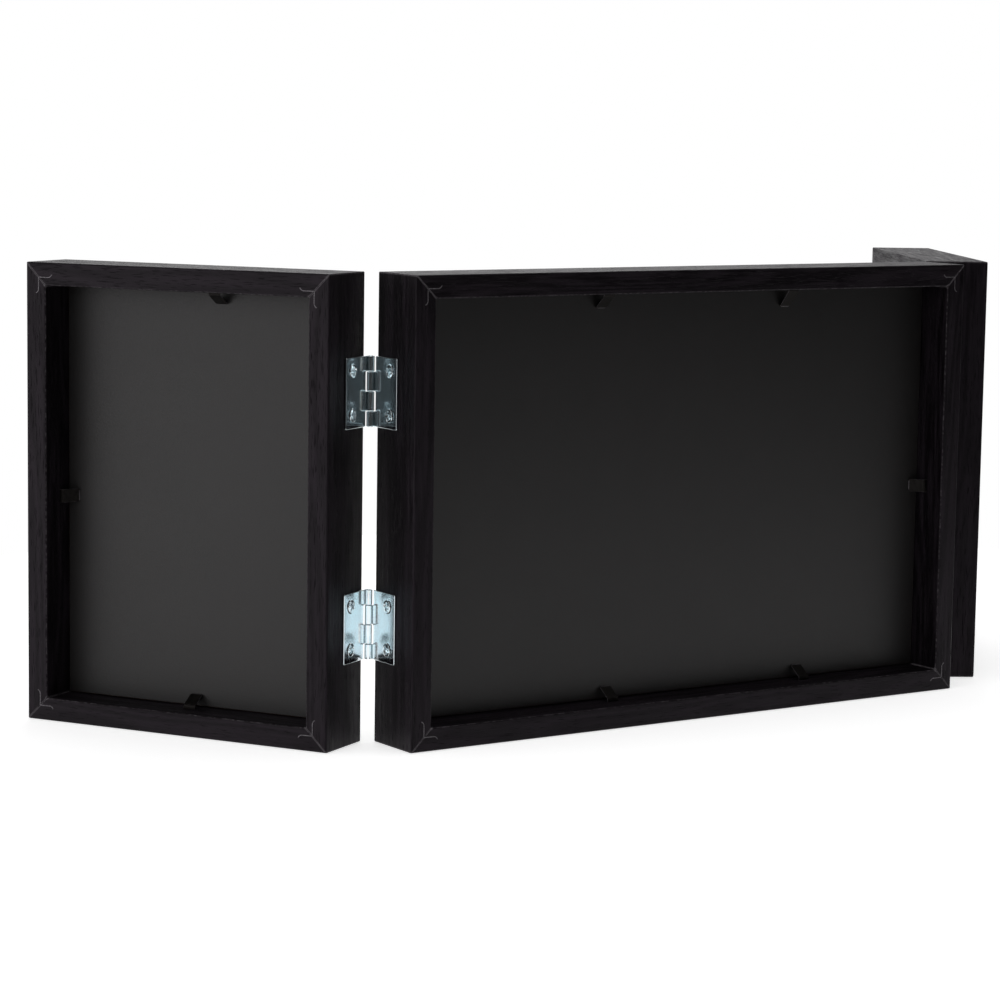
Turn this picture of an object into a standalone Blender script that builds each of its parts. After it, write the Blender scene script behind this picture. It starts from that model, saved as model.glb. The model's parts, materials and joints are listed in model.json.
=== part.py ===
"""Trifold photo frame: a wide centre panel with a narrow wing hinged to each side.

Metres, +Z up. Opened flat, the panels face -Y and their hollow backs are open towards +Y.
The origin is the middle of the centre panel's underside. Each wing hangs from a pivot empty
that lies on its hinge axis, turned to the standing pose with both wings folded forward.
"""
import math

import bmesh
import bpy
from mathutils import Matrix, Vector

# Pictures, and the room around them inside the panels
WING_PICTURE_WIDTH = 0.1300
PICTURE_HEIGHT = 0.1800
PICTURE_WIDTH_ROOM = 0.0004
PICTURE_HEIGHT_ROOM = 0.0006
CLOSED_WING_GAP = 0.0008

# Wooden moulding
RAIL_DEPTH = 0.0300
RAIL_BACK_WIDTH = 0.0100
LIP_OVERHANG = 0.0050
LIP_THICKNESS = 0.0076
FACE_FLAT_WIDTH = 0.0095
SIGHT_DROP = 0.0024
FACE_ROUND = 0.0005
FACE_BLEND = 0.0035
SIGHT_ROUND = 0.0006
BACK_ROUND = 0.0008
MITRE_GAP = 0.0002

# Glass and backing board
GLASS_THICKNESS = 0.0020
BOARD_THICKNESS = 0.0030
STACK_GAP = 0.0002
EDGE_GAP = 0.0003
SHEET_ARRIS = 0.0003

# Bent steel tabs that hold the board down
TAB_WIDTH = 0.0058
TAB_THICKNESS = 0.0004
TAB_DRIVEN_LENGTH = 0.0060
TAB_ROOT_HEIGHT = 0.0066
TAB_STRAIGHT = 0.0006
TAB_BEND_RADIUS = 0.0015
TAB_BEND_DEGREES = 48.0
TAB_POINT = 0.0022
TAB_TIP_ROUND = 0.0007
TAB_SLOT_GAP = 0.0002

# Butt hinges
HINGE_HEIGHT = 0.0300
HINGE_END_INSET = 0.0355
AXIS_PROUD = 0.0026
LEAF_ON_RAIL = 0.0168
LEAF_THICKNESS = 0.0008
LEAF_SEAT_GAP = 0.0001
LEAF_CORNER_ROUND = 0.0006
KNUCKLE_RADIUS = 0.0017
END_KNUCKLE_LENGTH = 0.0066
KNUCKLE_GAP = 0.0002
NOTCH_GAP = 0.0012
CURL_SLIT = 0.0003
PIN_RADIUS = 0.00082
PIN_PROUD = 0.0002
PIN_CHAMFER = 0.0002

# Countersunk cross-head screws
SCREW_LENGTH = 0.0085
SCREW_SPACING = 0.0187
SCREW_EDGE_DISTANCE = 0.0056
SCREW_HEAD_RADIUS = 0.00275
SCREW_SHANK_RADIUS = 0.0015
SCREW_DOME = 0.0005
SCREW_PROUD = 0.0003
SCREW_POINT = 0.0020
SCREW_GAP = 0.0002
RECESS_SPAN = 0.0030
RECESS_ARM = 0.0008
RECESS_DEPTH = 0.0011

# Standing pose, and how far every cut runs past the solid
RIGHT_FOLD_DEGREES = 60.0
LEFT_FOLD_DEGREES = 59.0
OVERRUN = 0.0010
WELD = 0.000001

# Where the tabs were driven, as shares of the panel's width from its left or of its height
CENTRE_TAB_SHARES = {"top": (0.31, 0.65), "bottom": (0.27, 0.63), "left": (0.48,), "right": (0.50,)}
RIGHT_TAB_SHARES = {"top": (0.41,), "bottom": (0.49,), "left": (0.50,), "right": (0.49,)}
LEFT_TAB_SHARES = {"top": (0.56,), "bottom": (0.48,), "left": (0.51,), "right": (0.50,)}

# Facets along arcs and around turned shapes
CORNER_STEPS = 4
BEND_STEPS = 4
CURL_STEPS = 16
PIN_SEGMENTS = 20
SCREW_SEGMENTS = 12
DOME_STEPS = 2
SHARP_DEGREES = 32.0

# Sizes worked out from those above
WING_WIDTH = WING_PICTURE_WIDTH + PICTURE_WIDTH_ROOM + 2 * RAIL_BACK_WIDTH
CENTRE_WIDTH = 2 * WING_WIDTH + CLOSED_WING_GAP
PANEL_HEIGHT = PICTURE_HEIGHT + PICTURE_HEIGHT_ROOM + 2 * RAIL_BACK_WIDTH
FRONT = -RAIL_DEPTH / 2
BACK = RAIL_DEPTH / 2
SEAT = FRONT + LIP_THICKNESS
GLASS_FRONT = SEAT + STACK_GAP
BOARD_FRONT = GLASS_FRONT + GLASS_THICKNESS + STACK_GAP
BOARD_BACK = BOARD_FRONT + BOARD_THICKNESS
AXIS_OFFSET = KNUCKLE_RADIUS + LEAF_SEAT_GAP
LEAF_LENGTH = AXIS_PROUD + LEAF_ON_RAIL
BORE_RADIUS = KNUCKLE_RADIUS - LEAF_THICKNESS
HINGE_RISE = PANEL_HEIGHT / 2 - HINGE_END_INSET - HINGE_HEIGHT / 2
SCREW_DEPTH_PLACE = FRONT + LEAF_ON_RAIL - SCREW_EDGE_DISTANCE


def clear_scene():
    """Removes every object, so the model starts from an empty file."""
    for old in list(bpy.data.objects):
        bpy.data.objects.remove(old)


def new_collection(name):
    """Makes a collection in the scene."""
    collection = bpy.data.collections.new(name)
    bpy.context.scene.collection.children.link(collection)
    return collection


def new_material(name, colour, roughness, metallic):
    """Makes a plain Principled material."""
    material = bpy.data.materials.new(name)
    material.use_nodes = True
    shader = material.node_tree.nodes["Principled BSDF"]
    shader.inputs["Base Color"].default_value = (*colour, 1)
    shader.inputs["Roughness"].default_value = roughness
    shader.inputs["Metallic"].default_value = metallic
    return material


clear_scene()
PARTS = new_collection("trifold_photo_frame")
CUTTERS = new_collection("cutters")
STAINED_WOOD = new_material("black_stained_wood", (0.014, 0.013, 0.014), 0.55, 0)
HARDBOARD = new_material("dark_grey_hardboard", (0.032, 0.030, 0.029), 0.75, 0)
GLASS = new_material("clear_glass", (0.85, 0.90, 0.88), 0.05, 0)
PLATED_STEEL = new_material("bright_plated_steel", (0.72, 0.76, 0.78), 0.25, 1)
DARK_STEEL = new_material("dark_steel", (0.05, 0.05, 0.052), 0.45, 1)


def baked(helper):
    """Turns a helper object into a plain mesh and removes the helper."""
    depsgraph = bpy.context.evaluated_depsgraph_get()
    mesh = bpy.data.meshes.new_from_object(helper.evaluated_get(depsgraph))
    bpy.data.objects.remove(helper)
    return mesh


def tidied(mesh):
    """Welds coincident points and turns every face outward."""
    work = bmesh.new()
    work.from_mesh(mesh)
    bmesh.ops.remove_doubles(work, verts=work.verts, dist=WELD)
    bmesh.ops.dissolve_degenerate(work, edges=work.edges, dist=WELD)
    bmesh.ops.recalc_face_normals(work, faces=work.faces)
    work.to_mesh(mesh)
    work.free()
    return mesh


def prism(outline, thickness):
    """A flat outline in XY as a solid of the given thickness, centred on the XY plane."""
    curve = bpy.data.curves.new("outline", "CURVE")
    curve.dimensions = "2D"
    curve.fill_mode = "BOTH"
    curve.extrude = thickness / 2
    spline = curve.splines.new("POLY")
    spline.points.add(len(outline) - 1)
    for point, (x, y) in zip(spline.points, outline):
        point.co = (x, y, 0, 1)
    spline.use_cyclic_u = True
    helper = bpy.data.objects.new("outline", curve)
    CUTTERS.objects.link(helper)
    return tidied(baked(helper))


def turned(profile, segments):
    """A profile of (radius, height) points, listed from top to bottom, turned about Z."""
    mesh = bpy.data.meshes.new("profile")
    edges = [(k, k + 1) for k in range(len(profile) - 1)]
    mesh.from_pydata([(radius, 0, height) for radius, height in profile], edges, [])
    helper = bpy.data.objects.new("profile", mesh)
    CUTTERS.objects.link(helper)
    screw = helper.modifiers.new("turn", "SCREW")
    screw.steps = segments
    screw.render_steps = segments
    screw.use_merge_vertices = True
    screw.merge_threshold = WELD
    return tidied(baked(helper))


def box(size, centre):
    """A box of the given size about a centre point."""
    mesh = bpy.data.meshes.new("box")
    work = bmesh.new()
    bmesh.ops.create_cube(work, size=1)
    bmesh.ops.scale(work, vec=size, verts=work.verts)
    bmesh.ops.translate(work, vec=centre, verts=work.verts)
    work.to_mesh(mesh)
    work.free()
    return mesh


def carved(mesh, cutters):
    """The mesh with each cutter taken out of it."""
    helper = bpy.data.objects.new("body", mesh)
    CUTTERS.objects.link(helper)
    tools = []
    for cutter in cutters:
        tool = bpy.data.objects.new("cutter", cutter)
        CUTTERS.objects.link(tool)
        tool.hide_render = True
        tool.display_type = "WIRE"
        cut = helper.modifiers.new("cut", "BOOLEAN")
        cut.operation = "DIFFERENCE"
        cut.solver = "EXACT"
        cut.object = tool
        tools.append(tool)
    result = baked(helper)
    for tool in tools:
        bpy.data.objects.remove(tool)
    return tidied(result)


def edges_rounded(mesh, chosen, radius, steps):
    """Rounds the edges that the test picks by their two ends."""
    work = bmesh.new()
    work.from_mesh(mesh)
    edges = [edge for edge in work.edges if chosen(edge.verts[0].co, edge.verts[1].co)]
    bmesh.ops.bevel(work, geom=edges, offset=radius, segments=steps, profile=0.5, affect="EDGES")
    work.to_mesh(mesh)
    work.free()
    return mesh


def placed(name, mesh, material, parent, matrix):
    """Adds one named piece under its parent."""
    mesh.materials.clear()
    mesh.materials.append(material)
    mesh.shade_smooth()
    mesh.set_sharp_from_angle(angle=math.radians(SHARP_DEGREES))
    piece = bpy.data.objects.new(name, mesh)
    PARTS.objects.link(piece)
    piece.parent = parent
    piece.matrix_local = matrix
    return piece


def empty(name, parent, matrix):
    """Adds an empty that carries one panel or marks one hinge axis."""
    holder = bpy.data.objects.new(name, None)
    PARTS.objects.link(holder)
    holder.parent = parent
    holder.matrix_local = matrix
    return holder


def rounded_outline(corners):
    """Turns (x, y, radius) corners into an outline, with each rounded corner as an arc."""
    outline = []
    for k, (x, y, radius) in enumerate(corners):
        here = Vector((x, y))
        if radius == 0:
            outline.append(here)
            continue
        before = (Vector(corners[k - 1][:2]) - here).normalized()
        after = (Vector(corners[(k + 1) % len(corners)][:2]) - here).normalized()
        half = before.angle(after) / 2
        middle = here + (before + after).normalized() * radius / math.sin(half)
        start = here + before * radius / math.tan(half) - middle
        sweep = start.angle_signed(here + after * radius / math.tan(half) - middle)
        for step in range(CORNER_STEPS + 1):
            outline.append(middle + Matrix.Rotation(-sweep * step / CORNER_STEPS, 2) @ start)
    return outline


def rail_outline():
    """The moulding's section: x runs inward from the outer side, y from front to back."""
    sight = RAIL_BACK_WIDTH + LIP_OVERHANG
    return rounded_outline([
        (0, FRONT, FACE_ROUND),
        (FACE_FLAT_WIDTH, FRONT, FACE_BLEND),
        (sight, FRONT + SIGHT_DROP, SIGHT_ROUND),
        (sight, SEAT, 0),
        (RAIL_BACK_WIDTH, SEAT, 0),
        (RAIL_BACK_WIDTH, BACK, BACK_ROUND),
        (0, BACK, BACK_ROUND),
    ])


def along_rail(mesh):
    """Turns a prism so that its thickness runs along X and its outline's x runs inward along Z."""
    mesh.transform(Matrix.Rotation(-math.pi / 2, 4, "Y"))
    return mesh


def mitred_rail(length, cutters):
    """One rail along X, outer side at Z 0, both ends mitred, with its slots and pilot holes."""
    mesh = along_rail(prism(rail_outline(), length))
    work = bmesh.new()
    work.from_mesh(mesh)
    for end in (-1, 1):
        trim = Vector((end * (length - MITRE_GAP * math.sqrt(2)) / 2, 0, 0))
        cut = bmesh.ops.bisect_plane(work, geom=work.verts[:] + work.edges[:] + work.faces[:],
                                     dist=WELD, plane_co=trim, plane_no=(end, 0, 1), clear_outer=True)
        loop = [item for item in cut["geom_cut"] if isinstance(item, bmesh.types.BMEdge)]
        bmesh.ops.holes_fill(work, edges=loop)
    work.to_mesh(mesh)
    work.free()
    return carved(tidied(mesh), cutters) if cutters else tidied(mesh)


def tab_outline():
    """The bent strip from the side: x inward from the rabbet wall, y up from the board's back."""
    bend = math.radians(TAB_BEND_DEGREES)
    half = TAB_THICKNESS / 2
    drop = TAB_ROOT_HEIGHT - STACK_GAP - half * math.cos(bend) - TAB_BEND_RADIUS * (1 - math.cos(bend))
    arm = drop / math.sin(bend)
    path = [(Vector((-TAB_DRIVEN_LENGTH, TAB_ROOT_HEIGHT)), 0)]
    for step in range(BEND_STEPS + 1):
        angle = bend * step / BEND_STEPS
        fall = TAB_BEND_RADIUS * (1 - math.cos(angle))
        path.append((Vector((TAB_STRAIGHT + TAB_BEND_RADIUS * math.sin(angle), TAB_ROOT_HEIGHT - fall)), angle))
    path.append((path[-1][0] + Vector((math.cos(bend), -math.sin(bend))) * arm, bend))
    upper = [point + Vector((math.sin(angle), math.cos(angle))) * half for point, angle in path]
    lower = [point - Vector((math.sin(angle), math.cos(angle))) * half for point, angle in path]
    return upper + lower[::-1]


def tab_mesh():
    """One tab in its rail's frame, at the middle of the rail: pointed where driven, rounded at its tip."""
    mesh = along_rail(prism(tab_outline(), TAB_WIDTH))
    driven = min(point.co.z for point in mesh.vertices)
    tip = max(point.co.z for point in mesh.vertices) - TAB_THICKNESS

    def across_side(a, b):
        return abs(a.x - b.x) < WELD and abs(abs(a.x) - TAB_WIDTH / 2) < WELD

    edges_rounded(mesh, lambda a, b: across_side(a, b) and max(a.z, b.z) < driven + WELD, TAB_POINT, 1)
    edges_rounded(mesh, lambda a, b: across_side(a, b) and min(a.z, b.z) > tip, TAB_TIP_ROUND, 2)
    mesh.transform(Matrix.Translation((0, BOARD_BACK, RAIL_BACK_WIDTH)))
    return tidied(mesh)


def tab_slot(place):
    """The slot that a tab is driven into, at its place along the rail."""
    depth = TAB_DRIVEN_LENGTH + TAB_SLOT_GAP
    size = (TAB_WIDTH + 2 * TAB_SLOT_GAP, TAB_THICKNESS + 2 * TAB_SLOT_GAP, depth + OVERRUN)
    middle = RAIL_BACK_WIDTH - depth + size[2] / 2
    return box(size, (place, BOARD_BACK + TAB_ROOT_HEIGHT, middle))


def screw_profile(gap):
    """A screw's profile with its rim at height zero, widened by a gap for the hole that takes it."""
    head = SCREW_HEAD_RADIUS + gap
    shank = SCREW_SHANK_RADIUS + gap
    length = SCREW_LENGTH + gap
    top = OVERRUN if gap else SCREW_DOME
    dome = [(head * math.sin(angle), top * math.cos(angle))
            for angle in (math.pi / 2 * step / DOME_STEPS for step in range(DOME_STEPS))]
    if gap:
        dome = [(0, top), (head, top)]
    return dome + [(head, 0), (shank, shank - head), (shank, SCREW_POINT - length), (0, -length)]


def screw_mesh():
    """A countersunk screw with a low dome and a cross recess."""
    body = turned(screw_profile(0), SCREW_SEGMENTS)
    sizes = ((RECESS_SPAN, RECESS_ARM), (RECESS_ARM, RECESS_SPAN))
    bottom = SCREW_DOME - RECESS_DEPTH
    depth = RECESS_DEPTH + OVERRUN
    return carved(body, [box((x, y, depth), (0, 0, bottom + depth / 2)) for x, y in sizes])


def screw_hole(along, depth_place, outside):
    """A pilot hole with its countersink in a rail's frame, below a leaf's outer face."""
    hole = turned(screw_profile(SCREW_GAP), SCREW_SEGMENTS)
    hole.transform(Matrix.Translation((along, depth_place, outside)) @ Matrix.Rotation(math.pi, 4, "X"))
    return hole


def leaf_outline():
    """The sheet from its free edge to the end of its curl round the pin, whose axis is the origin."""
    end = math.acos((BORE_RADIUS - CURL_SLIT) / KNUCKLE_RADIUS) - 2 * math.pi
    turn = [end * step / CURL_STEPS for step in range(CURL_STEPS + 1)]
    outer = [(KNUCKLE_RADIUS * math.cos(a), KNUCKLE_RADIUS * math.sin(a)) for a in turn]
    inner = [(BORE_RADIUS * math.cos(a), BORE_RADIUS * math.sin(a)) for a in reversed(turn)]
    return [(KNUCKLE_RADIUS, LEAF_LENGTH)] + outer + inner + [(BORE_RADIUS, LEAF_LENGTH)]


def knuckle_notch(low, high):
    """The window in a leaf where the other leaf's knuckle turns."""
    reach = KNUCKLE_RADIUS + NOTCH_GAP
    size = (2 * reach, 2 * reach, high - low)
    return box(size, (0, 0, (low + high) / 2))


def leaf_mesh():
    """A hinge leaf with its first and third knuckles counted from the top."""
    middle_end = HINGE_HEIGHT / 2 - END_KNUCKLE_LENGTH
    half_gap = KNUCKLE_GAP / 2
    cutters = [
        knuckle_notch(-half_gap, middle_end + half_gap),
        knuckle_notch(-HINGE_HEIGHT / 2 - OVERRUN, -middle_end + half_gap),
    ]
    for side in (-1, 1):
        hole = turned(screw_profile(SCREW_GAP), SCREW_SEGMENTS)
        place = (BORE_RADIUS, LEAF_LENGTH - SCREW_EDGE_DISTANCE, side * SCREW_SPACING / 2)
        hole.transform(Matrix.Translation(place) @ Matrix.Rotation(-math.pi / 2, 4, "Y"))
        cutters.append(hole)

    def free_corner(a, b):
        return min(a.y, b.y) > LEAF_LENGTH - WELD and abs(a.z - b.z) < WELD and abs(a.x - b.x) > WELD

    plate = edges_rounded(prism(leaf_outline(), HINGE_HEIGHT), free_corner, LEAF_CORNER_ROUND, 2)
    return carved(tidied(plate), cutters)


def pin_mesh():
    """The hinge pin, chamfered at both ends."""
    half = HINGE_HEIGHT / 2 + PIN_PROUD
    tip = PIN_RADIUS - PIN_CHAMFER
    profile = [(0, half), (tip, half), (PIN_RADIUS, half - PIN_CHAMFER),
               (PIN_RADIUS, PIN_CHAMFER - half), (tip, -half), (0, -half)]
    return turned(profile, PIN_SEGMENTS)


def rail_frame(side, width):
    """A rail's place in its panel: its X runs along the rail and its Z points inward."""
    turn, x, z = {
        "bottom": (0, 0, 0),
        "top": (math.pi, 0, PANEL_HEIGHT),
        "left": (math.pi / 2, -width / 2, PANEL_HEIGHT / 2),
        "right": (-math.pi / 2, width / 2, PANEL_HEIGHT / 2),
    }[side]
    return Matrix.Translation((x, 0, z)) @ Matrix.Rotation(turn, 4, "Y")


def place_on_rail(side, width, share):
    """Turns a share of the panel's width or height into a place along the rail's own X."""
    point = Vector(((share - 0.5) * width, 0, share * PANEL_HEIGHT))
    return (rail_frame(side, width).inverted() @ point).x


def tab_name(panel, side, shares, share):
    """Names a tab by its rail, and by its half of the rail where there are two."""
    if len(shares) == 1:
        return f"{panel}_tab_{side}"
    return f"{panel}_tab_{side}_{'left' if share == min(shares) else 'right'}"


def build_sheet(name, panel, width, front, thickness, material):
    """A flat sheet lying in a panel's rabbet."""
    opening = (width - 2 * RAIL_BACK_WIDTH, PANEL_HEIGHT - 2 * RAIL_BACK_WIDTH)
    size = (opening[0] - 2 * EDGE_GAP, thickness, opening[1] - 2 * EDGE_GAP)
    mesh = edges_rounded(box(size, (0, 0, 0)), lambda a, b: True, SHEET_ARRIS, 1)
    place = Matrix.Translation((0, front + thickness / 2, PANEL_HEIGHT / 2))
    placed(name, mesh, material, panel, place)


def build_panel(name, width, holder, tab_shares, hinge_sides):
    """Four mitred rails, the glass, the backing board and the tabs of one panel."""
    tab = tab_mesh()
    outside = -LEAF_SEAT_GAP - LEAF_THICKNESS
    for side, shares in tab_shares.items():
        length = width if side in ("top", "bottom") else PANEL_HEIGHT
        places = [place_on_rail(side, width, share) for share in shares]
        cutters = [tab_slot(place) for place in places]
        if side in hinge_sides:
            cutters += [screw_hole(along, SCREW_DEPTH_PLACE, outside) for along in screw_places()]
        frame = rail_frame(side, width)
        placed(f"{name}_rail_{side}", mitred_rail(length, cutters), STAINED_WOOD, holder, frame)
        for share, place in zip(shares, places):
            seat = frame @ Matrix.Translation((place, 0, 0))
            placed(tab_name(name, side, shares, share), tab, DARK_STEEL, holder, seat)
    build_sheet(f"{name}_glass", holder, width, GLASS_FRONT, GLASS_THICKNESS, GLASS)
    build_sheet(f"{name}_backing_board", holder, width, BOARD_FRONT, BOARD_THICKNESS, HARDBOARD)


def screw_places():
    """The screws' places along a hinge-side rail, measured from the rail's middle."""
    return [row * HINGE_RISE + step * SCREW_SPACING / 2 for row in (-1, 1) for step in (-1, 1)]


def build_hinge(name, height, axis, leaves, leaf, pin, screw):
    """Two leaves, their four screws and the pin; each leaf goes on its own panel's holder."""
    centre = axis @ Matrix.Translation((0, 0, height))
    placed(f"{name}_pin", pin, PLATED_STEEL, None, centre)
    for role, holder, own_axis, facing in leaves:
        turn = Matrix.Rotation(0 if facing > 0 else math.pi, 4, "Y")
        seat = own_axis @ Matrix.Translation((0, 0, height)) @ turn
        placed(f"{name}_{role}_leaf", leaf, PLATED_STEEL, holder, seat)
        for label, step in (("upper", 1), ("lower", -1)):
            rise = facing * step * SCREW_SPACING / 2
            head = Matrix.Translation((BORE_RADIUS - SCREW_PROUD, LEAF_LENGTH - SCREW_EDGE_DISTANCE, rise))
            head = head @ Matrix.Rotation(-math.pi / 2, 4, "Y")
            placed(f"{name}_{role}_screw_{label}", screw, PLATED_STEEL, holder, seat @ head)


def build_side(name, facing, fold, tab_shares, leaf, pin, screw):
    """One wing on its hinges: facing is 1 for the wing at +X and -1 for the one at -X."""
    axis = Matrix.Translation((facing * (CENTRE_WIDTH / 2 + AXIS_OFFSET), FRONT - AXIS_PROUD, 0))
    swing = axis @ Matrix.Rotation(-facing * math.radians(fold), 4, "Z")
    pivot = empty(f"{name}_pivot", None, swing)
    offset = (facing * (AXIS_OFFSET + WING_WIDTH / 2), AXIS_PROUD - FRONT, 0)
    wing = empty(name, pivot, Matrix.Translation(offset))
    hinge_side = "left" if facing > 0 else "right"
    build_panel(name, WING_WIDTH, wing, tab_shares, (hinge_side,))
    for row, rise in (("top", HINGE_RISE), ("bottom", -HINGE_RISE)):
        leaves = [("wing", pivot, Matrix.Identity(4), facing), ("centre", None, axis, -facing)]
        hinge_name = f"{name.split('_')[0]}_{row}_hinge"
        build_hinge(hinge_name, PANEL_HEIGHT / 2 + rise, axis, leaves, leaf, pin, screw)


def main():
    """Builds the whole frame in its standing pose."""
    leaf, pin, screw = leaf_mesh(), pin_mesh(), screw_mesh()
    centre = empty("centre_panel", None, Matrix.Identity(4))
    build_panel("centre", CENTRE_WIDTH, centre, CENTRE_TAB_SHARES, ("left", "right"))
    build_side("right_wing", 1, RIGHT_FOLD_DEGREES, RIGHT_TAB_SHARES, leaf, pin, screw)
    build_side("left_wing", -1, LEFT_FOLD_DEGREES, LEFT_TAB_SHARES, leaf, pin, screw)


main()
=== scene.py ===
"""Finish of the trifold photo frame: stained rails, corner nails, glazing, tabs, hinges, stage.

Laid out as a Blender add-on and run as a script. Every piece is worked out in metres in the
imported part's own frame, with its place in its mesh, so each object stays at the origin.
"""
import json
import math
from functools import cache, partial

import bpy
import numpy as np
from bpy.props import FloatProperty, FloatVectorProperty, PointerProperty
from mathutils import Matrix, Vector


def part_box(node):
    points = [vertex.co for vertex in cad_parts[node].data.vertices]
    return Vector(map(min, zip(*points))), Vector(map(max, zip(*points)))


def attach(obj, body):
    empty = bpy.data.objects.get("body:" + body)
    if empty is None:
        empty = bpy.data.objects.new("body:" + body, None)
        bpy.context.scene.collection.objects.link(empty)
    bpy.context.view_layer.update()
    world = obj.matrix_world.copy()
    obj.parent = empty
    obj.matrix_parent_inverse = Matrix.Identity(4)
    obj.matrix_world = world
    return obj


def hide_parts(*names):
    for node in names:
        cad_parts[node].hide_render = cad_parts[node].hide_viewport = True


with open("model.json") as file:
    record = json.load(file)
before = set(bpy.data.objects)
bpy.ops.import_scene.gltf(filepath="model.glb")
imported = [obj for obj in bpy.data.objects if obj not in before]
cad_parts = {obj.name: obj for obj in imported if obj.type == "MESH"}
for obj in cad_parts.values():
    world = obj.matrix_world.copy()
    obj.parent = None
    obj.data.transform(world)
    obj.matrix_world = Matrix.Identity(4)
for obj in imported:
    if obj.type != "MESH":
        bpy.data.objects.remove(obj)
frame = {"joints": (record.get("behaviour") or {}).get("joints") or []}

bl_info = {
    "name": "Trifold Photo Frame",
    "version": (1, 0, 0),
    "blender": (4, 5, 0),
    "location": "3D View > Sidebar > Trifold Frame",
    "description": "Dresses a trifold photo frame in stained wood, glass, board and plated steel",
    "category": "Add Mesh",
}

MM = 0.001

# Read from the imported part: the centre's outer size and depth, its sheets and the hinge axes
LOW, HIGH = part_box("centre_rail_left")
CENTRE_WIDTH = -2 * LOW.x
PANEL_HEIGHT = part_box("centre_rail_top")[1].z
FRONT = LOW.y
BACK = HIGH.y
GLASS_LOW, GLASS_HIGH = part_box("centre_glass")
BOARD_LOW, BOARD_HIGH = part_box("centre_backing_board")
JOINTS = {joint["child"]: joint for joint in frame["joints"]}
AXIS_OFFSET = JOINTS["right_wing"]["pos_m"][0] - CENTRE_WIDTH / 2
AXIS_PROUD = FRONT - JOINTS["right_wing"]["pos_m"][1]

SIDES = ("top", "bottom", "left", "right")
# The body that each panel's pieces ride on, and to which side of the centre each wing lies
BODIES = {"centre": "centre_panel", "right_wing": "right_wing", "left_wing": "left_wing"}
FACING = {"right_wing": 1, "left_wing": -1}

# Where the tabs were driven, as shares of the panel's width from its left or of its height
TAB_SHARES = {
    "centre": {"top": (0.31, 0.65), "bottom": (0.27, 0.63), "left": (0.48,), "right": (0.50,)},
    "right_wing": {"top": (0.41,), "bottom": (0.49,), "left": (0.50,), "right": (0.49,)},
    "left_wing": {"top": (0.56,), "bottom": (0.48,), "left": (0.51,), "right": (0.50,)},
}
# How far along its mitre each corner's nail was driven, by panel, from the outer corner
NAIL_SHARES = {
    "centre": {"top_left": 0.57, "top_right": 0.57, "bottom_left": 0.60, "bottom_right": 0.62},
    "right_wing": {"top_left": 0.73, "top_right": 0.64, "bottom_left": 0.67, "bottom_right": 0.65},
    "left_wing": {"top_left": 0.66, "top_right": 0.60, "bottom_left": 0.62, "bottom_right": 0.70},
}
# How far each screw happened to stop turning, in degrees, in the order they are made
SCREW_TURNS = (18, 63, 40, 7, 55, 30, 74, 22, 48, 12, 67, 35, 80, 26, 51, 3)
# The tabs were bent by hand: their middle angle in degrees, its spread, and how fast it varies
TAB_BEND, TAB_BEND_SPREAD, TAB_BEND_RATE = 48, 9, 37
# Shares of a tab's width: how narrow its tip gets, and over which length
TAB_TIP, TAB_TIP_LENGTH = 0.68, 0.2
# Shares of a tab's width: how narrow its driven end is, and the length that adds a full width
TAB_ROOT, TAB_ROOT_LENGTH = 0.25, 0.55

# Each rail is cut from its own place in the board, this much further on, in metres
GRAIN_STEP = np.array((0.61, 0.17, 0.23))
# How deep a corner nail is driven, and how far from its bend each straight arm starts
NAIL_DEPTH = 1.2 * MM
NAIL_BEND = 0.2 * MM
# A screw's blunt point, the broken edge under its rim, and how wide its recess's walls slope
SCREW_POINT = 0.3 * MM
RIM_BREAK = 0.04 * MM
RECESS_WALL = 0.12 * MM
RECESS_TAPER = 0.40 * MM

# The camera's place in metres, its heading, tilt and roll in radians, its lens and film in mm
CAMERA_PLACE = (0.827945, 1.088367, 0.266624)
CAMERA_TURN = (-0.590913, -0.124496, 0.014978)
CAMERA_LENS = 110.81
SENSOR_WIDTH = 36
FLOOR_RADIUS = 0.6
FLOOR_DROP = 0.2 * MM
FLOOR_LIFT = 0.62
# Each soft box's place, its side in metres and its watts; all are turned towards one point
LAMP_AIM = (0, 0, 0.1)
SOFT_BOXES = {
    "side_softbox": ((1.30, 0.55, 0.75), 0.9, 3),
    "top_softbox": ((-0.10, 0.10, 1.50), 1.1, 6),
    "front_softbox": ((-0.65, -1.20, 1.10), 0.9, 4),
}
# The studio's dim base, and lobes for the white sweep behind, a soft box and the ceiling:
# the middle of each, the cosines where it starts and where it is full, and its brightness
STUDIO_BASE = 0.04
STUDIO_LOBES = (
    ((-0.46, -0.885, -0.07), 0.70, 0.98, 0.95),
    ((0.94, -0.28, 0.00), 0.70, 0.98, 1.90),
    ((0.0, 0.0, 1.0), 0.30, 0.95, 0.28),
)


def linear(code):
    """An sRGB hex colour as linear red, green and blue."""
    shares = (int(code[k:k + 2], 16) / 255 for k in (0, 2, 4))
    return tuple(s / 12.92 if s <= 0.04045 else ((s + 0.055) / 1.055) ** 2.4 for s in shares)


def length_value(label, words, size):
    """A length that a user may change, in metres."""
    return FloatProperty(
        name=label, description=words, default=size, min=0, unit="LENGTH", precision=5)


def colour_value(label, words, code):
    """A colour that a user may change, written as sRGB hex."""
    return FloatVectorProperty(
        name=label, description=words, default=linear(code), min=0, max=1, size=3, subtype="COLOR")


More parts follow.
